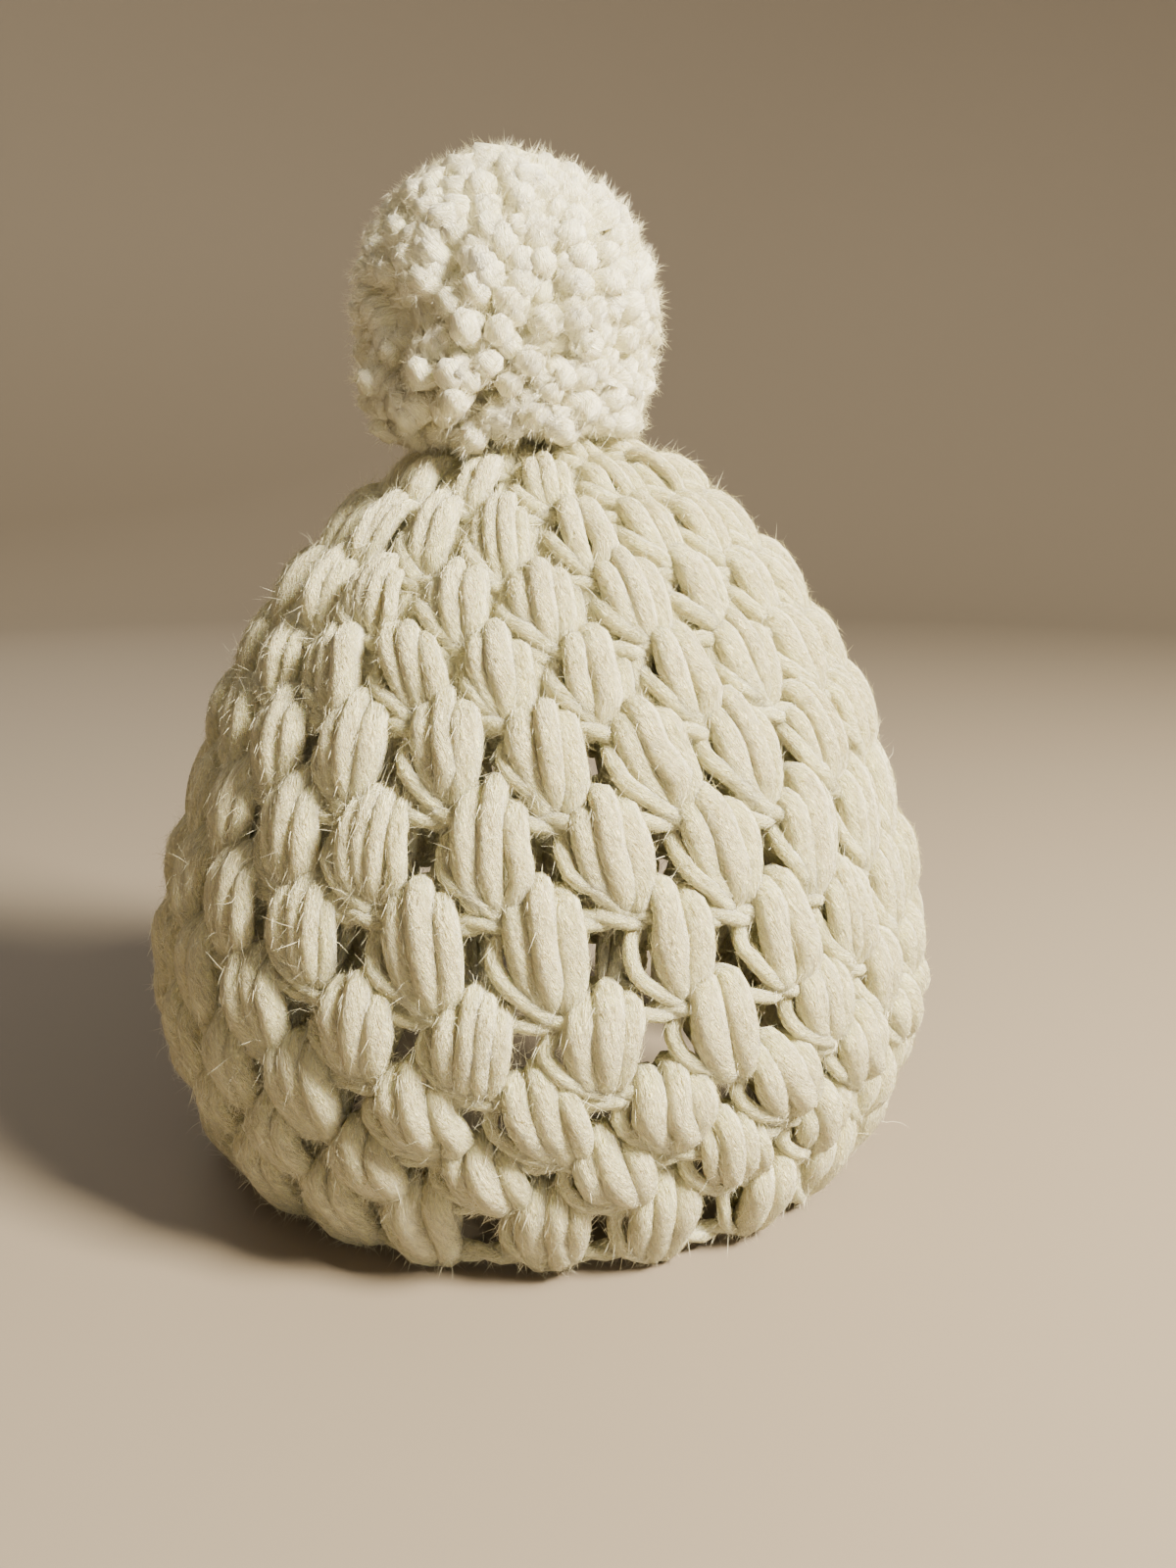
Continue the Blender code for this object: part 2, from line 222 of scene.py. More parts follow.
def yarn_material(name, colour, crevice_painted_light, inside_painted_light, fibre_bump, darkest, glow):
    """Soft yarn: fibres that run along each strand, and painted light down between the strands: a warmer
    tone for the light scattered there.
    """
    material = bpy.data.materials.new(name)
    material.use_nodes = True
    nodes, links = material.node_tree.nodes, material.node_tree.links
    shader = nodes["Principled BSDF"]
    shader.inputs["Roughness"].default_value = 0.75
    shader.inputs["Specular IOR Level"].default_value = 0.25
    shader.inputs["Sheen Weight"].default_value = 0.5
    shader.inputs["Sheen Roughness"].default_value = 0.35
    shader.inputs["Sheen Tint"].default_value = (1.0, 0.97, 0.88, 1.0)
    shader.inputs["Subsurface Weight"].default_value = glow
    shader.inputs["Subsurface Radius"].default_value = (1.0, 0.88, 0.45)
    shader.inputs["Subsurface Scale"].default_value = 2.0 * MM

    lay = nodes.new("ShaderNodeAttribute")
    lay.attribute_name = "lay"

    def noise_along(across, along, waviness):
        """Noise stretched along the strand, with its grain in millimetres."""
        stretch = nodes.new("ShaderNodeMapping")
        stretch.inputs["Scale"].default_value = (1 / (across * MM), 1 / (across * MM), 1 / (along * MM))
        links.new(lay.outputs["Vector"], stretch.inputs["Vector"])
        noise = nodes.new("ShaderNodeTexNoise")
        noise.inputs["Scale"].default_value = 1.0
        noise.inputs["Detail"].default_value = 2.0
        noise.inputs["Roughness"].default_value = 0.6
        noise.inputs["Distortion"].default_value = waviness
        links.new(stretch.outputs["Vector"], noise.inputs["Vector"])
        return noise.outputs["Fac"]

    def add_to(under, value, share):
        """Adds that share of a value to the relief so far."""
        added = nodes.new("ShaderNodeMath")
        added.operation = "MULTIPLY_ADD"
        links.new(value, added.inputs[0])
        added.inputs[1].default_value = share
        links.new(under, added.inputs[2])
        return added.outputs[0]

    def hair_lines(across, along, waviness):
        """Fine raised lines: the single hairs that wander over the strand."""
        level = nodes.new("ShaderNodeMath")
        level.operation = "SUBTRACT"
        links.new(noise_along(across, along, waviness), level.inputs[0])
        level.inputs[1].default_value = 0.5
        apart = nodes.new("ShaderNodeMath")
        apart.operation = "ABSOLUTE"
        links.new(level.outputs[0], apart.inputs[0])
        line = nodes.new("ShaderNodeMapRange")
        line.inputs["From Max"].default_value = 0.06
        line.inputs["To Min"].default_value = 1.0
        line.inputs["To Max"].default_value = 0.0
        links.new(apart.outputs[0], line.inputs["Value"])
        return line.outputs["Result"]

    # Soft slubs along the strand, the bundles of fibres in it, and the single hairs over them.
    relief = noise_along(0.55, 2.4, 0.8)
    relief = add_to(relief, noise_along(1.1, 3.6, 0.8), 0.8)
    relief = add_to(relief, noise_along(2.8, 6.0, 0.0), 0.6)
    relief = add_to(relief, hair_lines(1.2, 4.0, 1.0), 0.35)
    relief = add_to(relief, hair_lines(0.9, 2.6, 1.6), 0.30)
    bump = nodes.new("ShaderNodeBump")
    bump.inputs["Strength"].default_value = fibre_bump
    bump.inputs["Distance"].default_value = RELIEF_HEIGHT
    links.new(relief, bump.inputs["Height"])
    links.new(bump.outputs["Normal"], shader.inputs["Normal"])

    # Painted light: by its depth under the face the yarn turns to a lighter, yellower cream between the
    # strands, and to another cream deep inside, for the light scattered there.
    deep = nodes.new("ShaderNodeAttribute")
    deep.attribute_name = "deep"
    depth_share = nodes.new("ShaderNodeMapRange")
    depth_share.inputs["From Max"].default_value = DEEPEST_TONE
    links.new(deep.outputs["Fac"], depth_share.inputs["Value"])
    tone = nodes.new("ShaderNodeValToRGB")
    tone.color_ramp.interpolation = "EASE"
    tone.color_ramp.elements[0].position = 0.05
    tone.color_ramp.elements[0].color = (*colour, 1.0)
    tone.color_ramp.elements[1].position = 1.0
    tone.color_ramp.elements[1].color = (*inside_painted_light, 1.0)
    tone.color_ramp.elements.new(0.27).color = (*crevice_painted_light, 1.0)
    tone.color_ramp.elements.new(0.60).color = (*crevice_painted_light, 1.0)
    links.new(depth_share.outputs["Result"], tone.inputs["Fac"])

    # The colour follows the relief: partly the fibres' own uneven tone, partly painted shade in its low
    # places and a painted glint on the raised hairs.
    grain_shade_and_glint = nodes.new("ShaderNodeMapRange")
    grain_shade_and_glint.inputs["From Min"].default_value = 1.0
    grain_shade_and_glint.inputs["From Max"].default_value = 1.65
    grain_shade_and_glint.inputs["To Min"].default_value = darkest
    grain_shade_and_glint.inputs["To Max"].default_value = 1.06
    links.new(relief, grain_shade_and_glint.inputs["Value"])
    shade = nodes.new("ShaderNodeVectorMath")
    shade.operation = "SCALE"
    links.new(tone.outputs["Color"], shade.inputs[0])
    links.new(grain_shade_and_glint.outputs["Result"], shade.inputs["Scale"])
    links.new(shade.outputs["Vector"], shader.inputs["Base Color"])
    return material


# The yarn's own cream, then the painted light between the strands and deep inside the cosy: lighter and
# yellower, for the light scattered there.
CREAM = (0.97, 0.87, 0.53)
CREVICE_PAINTED_LIGHT = (0.98, 0.90, 0.52)
INSIDE_PAINTED_LIGHT = (0.95, 0.88, 0.56)
crochet_yarn = yarn_material(
    "crochet_yarn", CREAM, CREVICE_PAINTED_LIGHT, INSIDE_PAINTED_LIGHT, fibre_bump=1.0, darkest=0.60, glow=0.3
)

# One long loop of a puff, from its foot up over its top and down again inside the cosy: how far
# below the puff's middle (mm), how deep under the face (mm), how far the loops fan out there, and
# the radius of the strand (mm).
#    below  depth  fan   radius
LOOP = (
    ( 12.6,   8.4, 0.34, 1.45),
    ( 10.2,   5.6, 0.58, 1.80),
    (  6.8,   3.3, 0.86, 2.10),
    (  1.4,   2.2, 1.00, 2.20),
    ( -3.8,   2.4, 0.98, 2.15),
    ( -7.6,   4.4, 0.90, 2.00),
    ( -7.6,   8.6, 0.84, 1.80),
    ( -2.2,  10.9, 0.90, 1.70),
    (  5.0,  10.7, 0.75, 1.60),
    ( 11.4,   8.0, 0.15, 1.40),
)
LOOP_SIDES = 9
# Where along the loop its rings lie: closer together outside than inside the cosy.
LOOP_RINGS = np.concatenate((np.linspace(0, 6, 13), (6.8, 7.6, 8.4, 9.0)))
LOOP_RADIUS = 2.2  # mm, of a usual loop in front
THICKEST_LOOP = 3.2  # mm
LOOP_CHANCES = (0.20, 0.62, 0.18)  # of a puff with two, three or four loops
LOOP_CHANCES_ABOVE = (0.45, 0.50, 0.05)  # in the small rounds near the crown
SMALL_PUFF = 0.75  # as a share of a full-size one: what counts as such a small round
PUFF_WIDE = 15.2  # mm over all its loops
TWO_LOOPS_WIDE = 0.82  # the width of a puff with two loops, as a share of the others
ROUND_TALL = 16.0  # mm, the usual distance from one round to the next
STITCH_WIDE = 25.0  # mm, where the cosy is widest
YARN_THINS = 0.45  # how much the yarn is drawn thinner in a narrower stitch (a power)
SNUG_UNTIL, SNUG_FADES = 8, 4  # the round where stitches stop being packed, and over how many it fades
SNUG_WIDER, SNUG_SLANT_THICKER, SNUG_CHAIN_THICKER = 0.16, 0.25, 0.30
LOOP_FILLS = 0.62  # the radius of a loop, as a share of the width that it takes up in the puff
TOP_OF_LOOP = 7.6  # mm above the puff's middle
FRONT_DEPTH = 5.0  # mm: a loop's points nearer to the face than this are its front half
TOP_ROUNDED = 0.078  # mm that a loop's top lies lower, for each square mm aside of the middle
FACE_ROUNDED = 0.034  # mm that its front lies deeper, for each square mm aside of the middle
THICK_LIES_DEEPER = 0.7  # mm for each mm of radius
# How one puff differs from the next: the least and the most of each, as a share of the usual one.
PUFF_THICKNESS = (0.95, 1.05)
PUFF_WIDTH = (0.93, 1.05)
PUFF_HEIGHT = (0.93, 1.07)
LOOP_SHARE = (0.76, 1.24)
LOOP_FAN = (0.94, 1.06)
# And how far these stray to either side of the usual (mm, but for the tilt and the radius).
ASIDE_STRAYS, LOWER_STRAYS, TILT_STRAYS = 0.8, 0.5, 0.09
RADIUS_STRAYS, TOP_STRAYS, DEPTH_STRAYS, LOOP_STRAYS, SLANT_STRAYS = 0.05, 0.6, 0.4, 0.22, 0.3
# In some puffs one loop crosses its neighbour near the foot: how far below the middle, and how far
# aside and outward it is carried there (mm).
CROSSING_CHANCE = 0.3
CROSSING_BELOW = (0, 5, 9, 12)
CROSSING_ASIDE = (0, 1.4, 2.6, 0.8)
CROSSING_OUTWARD = (0, 0.9, 1.2, 0)
# How far to the right a puff's strands run: at its top, and how much more at its foot (mm).
LEAN_TOP, LEAN_FOOT = 0.2, 2.4
LEAN_STARTS, LEAN_LENGTH = -10, 20  # mm below the puff's middle, and from there to its foot
CHAIN_BELOW = 0.82  # rounds, from a puff's middle to the chain that closes its foot
CHAIN_BELOW_LAST = 0.55  # rounds, where the last puffs reach down past their chain to the floor
CHAIN_DEPTH = 5.8  # mm
CHAIN_RADIUS = 1.45  # mm
CHAIN_TURN_RADIUS = 0.80  # mm
CHAIN_TURNS = 1.5  # in each stitch
CHAIN_RINGS = 9  # in each stitch
CHAIN_STRAYS = 0.028  # rounds
CHAIN_TWIST = 60.0  # turns in a metre, as the chain is pulled tighter than the puffs
CHAIN_FROM_SLOT = 0.14  # stitches, from a slot's middle to where the chain ends beside it
PUFF_FROM_SLOT = 0.3  # stitches: no puff stands nearer to a slot's middle
# The slanting strand that comes out beside the puff and leads round it to its foot: how far to
# the right of the puff's middle, how far below it, and how deep under the face (mm).
#    right  below  depth
SLANT = (
    ( -6.4,  -2.2,  8.8),
    ( -8.9,   0.4,  6.8),
    ( -9.2,   3.3,  5.0),
    ( -7.0,   6.5,  4.0),
    ( -2.8,   9.3,  4.1),
    (  2.4,  12.0,  5.6),
)
SLANT_RINGS = 10
SLANT_RADIUS = (1.4, 1.9)  # mm, the least and the most
THIN_SIDES = 7  # of the slanting strands, the chains and the backing
# Near the crown the loops' back halves close the gap beside each puff, as two strands: how far
# aside of the gap's middle (mm), and how far down (rounds) and how deep (mm) each one runs.
BACKING_SNUG = 0.7  # the least packed stitch that has it
BACKING_SIDES = (-2.6, 2.4)
BACKING = ((-0.6, 9.0), (0.0, 6.8), (0.6, 8.0))
BACKING_SPREAD = 0.03  # stitches further aside at its top, for each mm aside
BACKING_RADIUS = 2.7  # mm
BACKING_RINGS = 6


def slot_at(across, down, reach):
    """Whether that place lies in a slot or within reach of its middle line (stitches)."""
    return any(
        starts < down < ends
        and abs((across - stitch - 0.5 + STITCHES / 2) % STITCHES - STITCHES / 2) < reach
        for stitch, starts, ends, _ in (WIDE_SLOT, TALL_SLOT)
    )


def snug_at(index):
    """How closely the stitches of that round are packed: 1 near the crown, 0 from round 8 down."""
    return min(max((SNUG_UNTIL - index) / SNUG_FADES, 0), 1)


def lean(below):
    """How far to the right of the puff's middle its strands run, that far below it (mm)."""
    return LEAN_TOP + LEAN_FOOT * (np.clip(below - LEAN_STARTS, 0, None) / LEAN_LENGTH) ** 2


def add_puff(skein, index, across):
    """One puff stitch: its loops, and the slanting strand that leads to its foot."""
    random = skein.random
    _, radius, puffs, _ = ROUNDS[index]
    wide = 2 * math.pi * radius / puffs / STITCH_WIDE
    thick = wide**YARN_THINS * random.uniform(*PUFF_THICKNESS)
    snug = snug_at(index)
    stitch = STITCHES / puffs / STITCH_WIDE  # across the cloth for each mm of a full-size puff
    loops = 2 + random.choice(3, p=LOOP_CHANCES if wide > SMALL_PUFF else LOOP_CHANCES_ABOVE)
    shares = random.uniform(*LOOP_SHARE, loops)
    shares /= shares.sum()
    puff_wide = PUFF_WIDE * (1 + SNUG_WIDER * snug) * random.uniform(*PUFF_WIDTH)
    if loops == 2:
        puff_wide *= TWO_LOOPS_WIDE
    sides = puff_wide * (np.cumsum(shares) - shares / 2 - 0.5)
    aside, lower, tilt = (random.normal(0, by) for by in (ASIDE_STRAYS, LOWER_STRAYS, TILT_STRAYS))
    tall = random.uniform(*PUFF_HEIGHT)
    crossing = random.integers(1, loops) if random.random() < CROSSING_CHANCE else -1
    for order, (side, share) in enumerate(zip(sides, shares)):
        below, depth, fan, radii = np.array(LOOP).T
        loop_radius = min(puff_wide * wide * share * LOOP_FILLS, THICKEST_LOOP)
        radii = radii / LOOP_RADIUS * loop_radius * (1 + random.normal(0, RADIUS_STRAYS, len(radii)))
        top = TOP_ROUNDED * side**2 + random.normal(0, TOP_STRAYS)
        below = tall * below + np.where(below < 0, top * -below / TOP_OF_LOOP, 0)
        front = np.where(depth < FRONT_DEPTH, 1, 0)
        deeper = FACE_ROUNDED * side**2 + THICK_LIES_DEEPER * (loop_radius - LOOP_RADIUS)
        depth = depth + front * (deeper + random.normal(0, DEPTH_STRAYS))
        sideways = side * fan * random.uniform(*LOOP_FAN) + lean(below) + tilt * below + aside
        sideways = sideways + random.normal(0, LOOP_STRAYS, len(below))
        if order == crossing:
            sideways = sideways + front * np.interp(below, CROSSING_BELOW, CROSSING_ASIDE)
            depth = depth - front * np.interp(below, CROSSING_BELOW, CROSSING_OUTWARD)
        places = np.stack(
            (across + sideways * stitch, index + (below + lower) / ROUND_TALL, depth, radii), axis=1
        )
        line = curve(places, LOOP_RINGS)
        skein.add(cloth(line[:, :3]), line[:, 3], LOOP_SIDES, line[:, 2])

    slant = np.array(SLANT) + random.normal(0, SLANT_STRAYS, (len(SLANT), 3))
    places = np.stack(
        (across + (slant[:, 0] + aside) * stitch, index + slant[:, 1] / ROUND_TALL, slant[:, 2]), axis=1
    )
    line = curve(places, SLANT_RINGS)
    slant_radius = random.uniform(*SLANT_RADIUS) * thick * (1 + SNUG_SLANT_THICKER * snug)
    skein.add(cloth(line), slant_radius, THIN_SIDES, line[:, 2])
    if snug > BACKING_SNUG:
        for side in BACKING_SIDES:
            gap = across + STITCHES / puffs / 2 + side * stitch
            places = [
                (gap + (BACKING_SPREAD * side if down < 0 else 0), index + down, depth)
                for down, depth in BACKING
            ]
            line = curve(places, BACKING_RINGS)
            skein.add(cloth(line), BACKING_RADIUS * thick, THIN_SIDES, line[:, 2])


def add_chain(skein, index, starts, ends):
    """The chain made after a round, two strands turning about each other."""
    _, radius, puffs, _ = ROUNDS[index]
    pitch = STITCHES / puffs
    thick = (2 * math.pi * radius / puffs / STITCH_WIDE) ** YARN_THINS
    thick *= 1 + SNUG_CHAIN_THICKER * snug_at(index)
    count = max(int((ends - starts) / pitch * CHAIN_RINGS), 8)
    across = np.linspace(starts, ends, count)
    turn = 2 * math.pi * across / pitch * CHAIN_TURNS
    knots = max(int((ends - starts) / pitch * CHAIN_TURNS), 4)
    waver = curve(skein.random.normal(0, CHAIN_STRAYS, (knots, 1)), count)[:, 0]
    waver = waver * np.clip(np.minimum(across - starts, ends - across), 0, 1)
    chain_below = CHAIN_BELOW_LAST if index == HEM - 1 else CHAIN_BELOW
    for half in (0, math.pi):
        below = chain_below + waver + np.cos(turn + half) * CHAIN_TURN_RADIUS * thick / ROUND_TALL
        depth = CHAIN_DEPTH + np.sin(turn + half) * CHAIN_TURN_RADIUS * thick
        places = np.stack((across, index + below, depth), axis=1)
        skein.add(cloth(places), CHAIN_RADIUS * thick, THIN_SIDES, depth, turns_per_metre=CHAIN_TWIST)


def crochet_round(skein, index):
    """A whole round: its puffs, and its chain wherever no slot cuts it."""
    _, _, puffs, turned = ROUNDS[index]
    pitch = STITCHES / puffs
    for number in range(puffs):
        across = (number + turned) * pitch
        if not slot_at(across, index, PUFF_FROM_SLOT):
            add_puff(skein, index, across)
    cuts = [
        stitch + 0.5
        for stitch, starts, ends, _ in (WIDE_SLOT, TALL_SLOT)
        if starts < index + CHAIN_BELOW < ends
    ]
    if not cuts:
        add_chain(skein, index, 0.0, float(STITCHES))
    for cut, following in zip(cuts, cuts[1:] + [c + STITCHES for c in cuts[:1]]):
        add_chain(skein, index, cut + CHAIN_FROM_SLOT, following - CHAIN_FROM_SLOT)


upper_rounds = Skein(1)
for index in range(1, 6):
    crochet_round(upper_rounds, index)
# The crown is closed by a coil of the first chain, drawn tight under the pompom.
COIL_TURNS = 5
COIL_RINGS = 120
COIL_INNER, COIL_WIDENS = 1.5, 11.0  # mm: its inner radius, and how much wider its outer one is
COIL_HEIGHT = 155.5  # mm
COIL_DOMED = 0.004  # mm lower, for each square mm out from the middle
COIL_THICK, COIL_SIDES, COIL_DEPTH = 2.0, 8, 5.0  # mm of radius, number, mm under the face
coil_turn = np.linspace(0, COIL_TURNS * 2 * math.pi, COIL_RINGS)
coil_radius = (COIL_INNER + COIL_WIDENS * coil_turn / coil_turn[-1]) * MM
coil = np.stack(
    (
        coil_radius * np.sin(coil_turn),
        -coil_radius * np.cos(coil_turn),
        (COIL_HEIGHT - COIL_DOMED * (coil_radius / MM) ** 2) * MM,
    ),
    axis=1,
)
upper_rounds.add(coil, COIL_THICK, COIL_SIDES, COIL_DEPTH)
upper_rounds.piece("crochet_upper_rounds", crochet_yarn, "cosy_body", "crochet_yarn")

# ---------------------------------------------------------------------------------------------
# The middle rounds: the widest part of the same piece of crochet, in the same yarn. Here the work
# turns back at two places in each round, which leaves the two slots open.

middle_rounds = Skein(2)
for index in range(6, 9):
    crochet_round(middle_rounds, index)
middle_rounds.piece("crochet_middle_rounds", crochet_yarn, "cosy_body", "crochet_yarn")

# ---------------------------------------------------------------------------------------------
# The lower rounds: the same crochet, worked down to the hem and drawn in a little. The hem is only
# its last puffs and their chain, without a border, and rests on the floor.

lower_rounds = Skein(3)
for index in range(9, 13):
    crochet_round(lower_rounds, index)
lower_rounds.piece("crochet_lower_rounds", crochet_yarn, "cosy_body", "crochet_yarn")

# ---------------------------------------------------------------------------------------------
# The slots' edges: where the work turns at a slot, its yarn runs down the edge from round to
# round in bowed loops, over a firmer strand that goes all the way round the slot.

EDGE_PAST = 0.1  # rounds that the strand runs past the slot's ends
EDGE_RINGS = 60
EDGE_OUT_AT_ENDS, EDGE_OUT_MORE = 0.02, 0.12  # stitches from the slot's middle, and more halfway
EDGE_TURNS = 1.5  # in each round
EDGE_TURN_ACROSS, EDGE_TURN_DEPTH = 0.04, 1.0  # stitches, mm
EDGE_DEPTH, EDGE_RADIUS, EDGE_SIDES, EDGE_TWIST = 6.4, 1.5, 8, 50.0  # mm, mm, number, turns in a metre
# One bowed loop: stitches from the slot's middle, rounds below its puff, mm under the face.
BOWED_LOOP = (
    (0.30, -0.40, 6.0),
    (0.16, -0.34, 3.8),
    (0.10,  0.05, 2.8),
    (0.16,  0.46, 3.6),
    (0.34,  0.72, 5.6),
)
BOWED_RADIUS, BOWED_SIDES, BOWED_RINGS = 1.9, 10, 16  # mm, number, number
BOWED_FROM_ENDS = 0.2  # rounds

slot_edges = Skein(4)
for stitch, starts, ends, _ in (WIDE_SLOT, TALL_SLOT):
    middle = stitch + 0.5
    for side in (-1, 1):
        down = np.linspace(starts - EDGE_PAST, ends + EDGE_PAST, EDGE_RINGS)
        open_there = np.sqrt(np.clip(1 - ((2 * down - starts - ends) / (ends - starts)) ** 2, 0, 1))
        for half in (0, math.pi):
            turn = 2 * math.pi * down * EDGE_TURNS + half
            across = middle + side * (EDGE_OUT_AT_ENDS + EDGE_OUT_MORE * open_there)
            across = across + EDGE_TURN_ACROSS * np.sin(turn)
            depth = EDGE_DEPTH + EDGE_TURN_DEPTH * np.cos(turn)
            places = np.stack((across, down, depth), axis=1)
            slot_edges.add(cloth(places), EDGE_RADIUS, EDGE_SIDES, depth, turns_per_metre=EDGE_TWIST)
        for index in range(math.ceil(starts + BOWED_FROM_ENDS), math.floor(ends - BOWED_FROM_ENDS) + 1):
            places = [(middle + side * out, index + below, depth) for out, below, depth in BOWED_LOOP]
            line = curve(places, BOWED_RINGS)
            slot_edges.add(cloth(line), BOWED_RADIUS, BOWED_SIDES, line[:, 2])
slot_edges.piece("slot_edges", crochet_yarn, "cosy_body", "crochet_yarn")

# ---------------------------------------------------------------------------------------------
# The crochet's fuzz: fine fibres that have worked loose from the yarn. Short ones lie along every
# strand, longer ones cross the gaps, most of all at the left side, and a few stray further.

HAIR_WAVE = 0.10  # how far a hair sways aside, as a share of its length
HAIR_TAPER = 0.6  # how much narrower it gets before its tip
HAIR_SIDE = np.array((0.31, 0.62, 0.72)) * MM  # turns a straight hair's flat side
LEAST_SPAN = 0.8  # keeps a hair that curls back on itself from growing too long


def add_hairs(name, material, wide, fibres, steps, node):
    """Loose fibres as one piece: each is a fine flat strand that curls, and tapers to its tip."""
    roots, directions, lengths, curls = fibres
    total = len(roots)
    span = np.maximum(np.linalg.norm(directions + curls, axis=1), LEAST_SPAN)
    reach = (lengths / span)[:, None]
    directions, curls = directions * reach, curls * reach
    share = (np.arange(steps) / steps)[None, :, None]
    middle = roots[:, None] + directions[:, None] * share + curls[:, None] * share**2
    sideways = np.cross(directions, curls + HAIR_SIDE)
    sideways /= np.linalg.norm(sideways, axis=1)[:, None]
    wave = sideways[:, None] * (HAIR_WAVE * lengths)[:, None, None] * np.sin(2 * math.pi * share)
    edge = sideways[:, None] * wide / 2 * (1 - HAIR_TAPER * share)
    sides = np.stack((middle + wave - edge, middle + wave + edge), axis=2)
    points = np.concatenate((sides.reshape(total, -1, 3), (roots + directions + curls)[:, None]), axis=1)
    points[:, :, 2] = np.maximum(points[:, :, 2], ABOVE_FLOOR)
    start = (np.arange(total) * (steps * 2 + 1))[:, None, None]
    quads = [(2 * step, 2 * step + 1, 2 * step + 3, 2 * step + 2) for step in range(steps - 1)]
    quads = (start + np.array(quads)[None]).reshape(-1, 4).tolist() if quads else []
    tips = (start + np.array([(steps * 2 - 2, steps * 2 - 1, steps * 2)])[None]).reshape(-1, 3).tolist()
    mesh = bpy.data.meshes.new(name)
    mesh.from_pydata(points.reshape(-1, 3).tolist(), [], quads + tips)
    mesh.shade_smooth()
    mesh.materials.append(material)
    piece = bpy.data.objects.new(name, mesh)
    bpy.context.scene.collection.objects.link(piece)
    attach(piece, "root")
    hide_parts(node)
    return piece


def hair_material(name, colour, darkest):
    """Loose fibres: a cream whiter than the yarn's, partly their own and partly a painted glint, a little
    uneven from hair to hair.
    """
    material = bpy.data.materials.new(name)
    material.use_nodes = True
    nodes, links = material.node_tree.nodes, material.node_tree.links
    shader = nodes["Principled BSDF"]
    shader.inputs["Roughness"].default_value = 0.6
    shader.inputs["Specular IOR Level"].default_value = 0.3
    shader.inputs["Sheen Weight"].default_value = 0.3
    geometry = nodes.new("ShaderNodeNewGeometry")
    tone = nodes.new("ShaderNodeMix")
    tone.data_type = "RGBA"
    tone.inputs["A"].default_value = (*(darkest * c for c in colour), 1.0)
    tone.inputs["B"].default_value = (*colour, 1.0)
    links.new(geometry.outputs["Random Per Island"], tone.inputs["Factor"])
    links.new(tone.outputs["Result"], shader.inputs["Base Color"])
    return material


# Whiter than the yarn: partly the fibres' own cream, partly a painted glint.
HAIR_CREAM_AND_GLINT = (0.99, 0.94, 0.68)
DARKEST_HAIR = 0.6  # as a share of the colour
crochet_hair = hair_material("crochet_hair", HAIR_CREAM_AND_GLINT, DARKEST_HAIR)
hair_random = np.random.default_rng(5)
crochet_skeins = (upper_rounds, middle_rounds, lower_rounds)
yarn_points, yarn_facing, yarn_along, yarn_deep = (
    np.concatenate([part for skein in crochet_skeins for part in getattr(skein, kind)])
    for kind in ("points", "facing", "along", "deep")
)
yarn_outward = yarn_points * (1, 1, 0)
yarn_outward /= np.linalg.norm(yarn_outward, axis=1)[:, None]
yarn_outward = np.einsum("nk,nk->n", yarn_outward, yarn_facing)  # 1 where it faces out of the cosy
# The left side has more loose fibres than the right: the share grows over this width.
LEFT_SHARE_WIDTH = 60 * MM
LEAST_SHARE, MOST_SHARE = 0.35, 2.6
more_at_left = np.clip(1.0 - yarn_points[:, 0] / LEFT_SHARE_WIDTH, LEAST_SHARE, MOST_SHARE)
NAP_DEEPEST = 7.0  # mm under the face
NAP_SUNK, NAP_ALONG, NAP_ASIDE = 0.10, 1.3, 0.7  # mm, how far from a point of the yarn it starts
NAP_TURN, NAP_STRAYS, NAP_RISE = 0.4, 0.35, 0.3  # of its way round the strand, aside and outward
DOWN_SUNK, DOWN_ALONG, DOWN_ASIDE = 0.25, 1.2, 0.2  # mm
DOWN_RISE = (0.2, 1.8)  # the least and the most, as a share of the rise asked for
DOWN_STRAYS = 0.45
# More of it stands in the grooves, and where a strand faces sideways: how many more and how deep a
# groove is (mm), how far that side faces out of the cosy and how wide it is, and the least elsewhere.
MORE_IN_GROOVES, GROOVE_DEEP = 1.5, 3
SIDE_FACES_OUT, SIDE_WIDE, LEAST_ELSEWHERE = 0.25, 0.35, 0.2


def lying_fibres(count, shortest, longest):
    """Fibres that lie on the strands' outer side, along them and a little round them."""
    wanted = (yarn_deep < NAP_DEEPEST) * np.clip(yarn_outward + 0.5, 0, 1)
    chosen = hair_random.choice(len(yarn_points), count, p=wanted / wanted.sum())
    outward, along = yarn_facing[chosen], yarn_along[chosen]
    sideways = np.cross(along, outward)
    roots = yarn_points[chosen] - outward * NAP_SUNK * MM
    roots += along * hair_random.uniform(-NAP_ALONG, NAP_ALONG, (count, 1)) * MM
    roots += sideways * hair_random.uniform(-NAP_ASIDE, NAP_ASIDE, (count, 1)) * MM
    direction = along * np.sign(hair_random.normal(0, 1, (count, 1)))
    strays = sideways * hair_random.normal(0, NAP_STRAYS, (count, 1))
    direction += np.cross(outward, direction) * NAP_TURN + strays
    direction += outward * hair_random.uniform(0.0, NAP_RISE, (count, 1))
    direction /= np.linalg.norm(direction, axis=1)[:, None]
    length = hair_random.uniform(shortest, longest, count) * MM
    return roots, direction, length, np.zeros((count, 3))


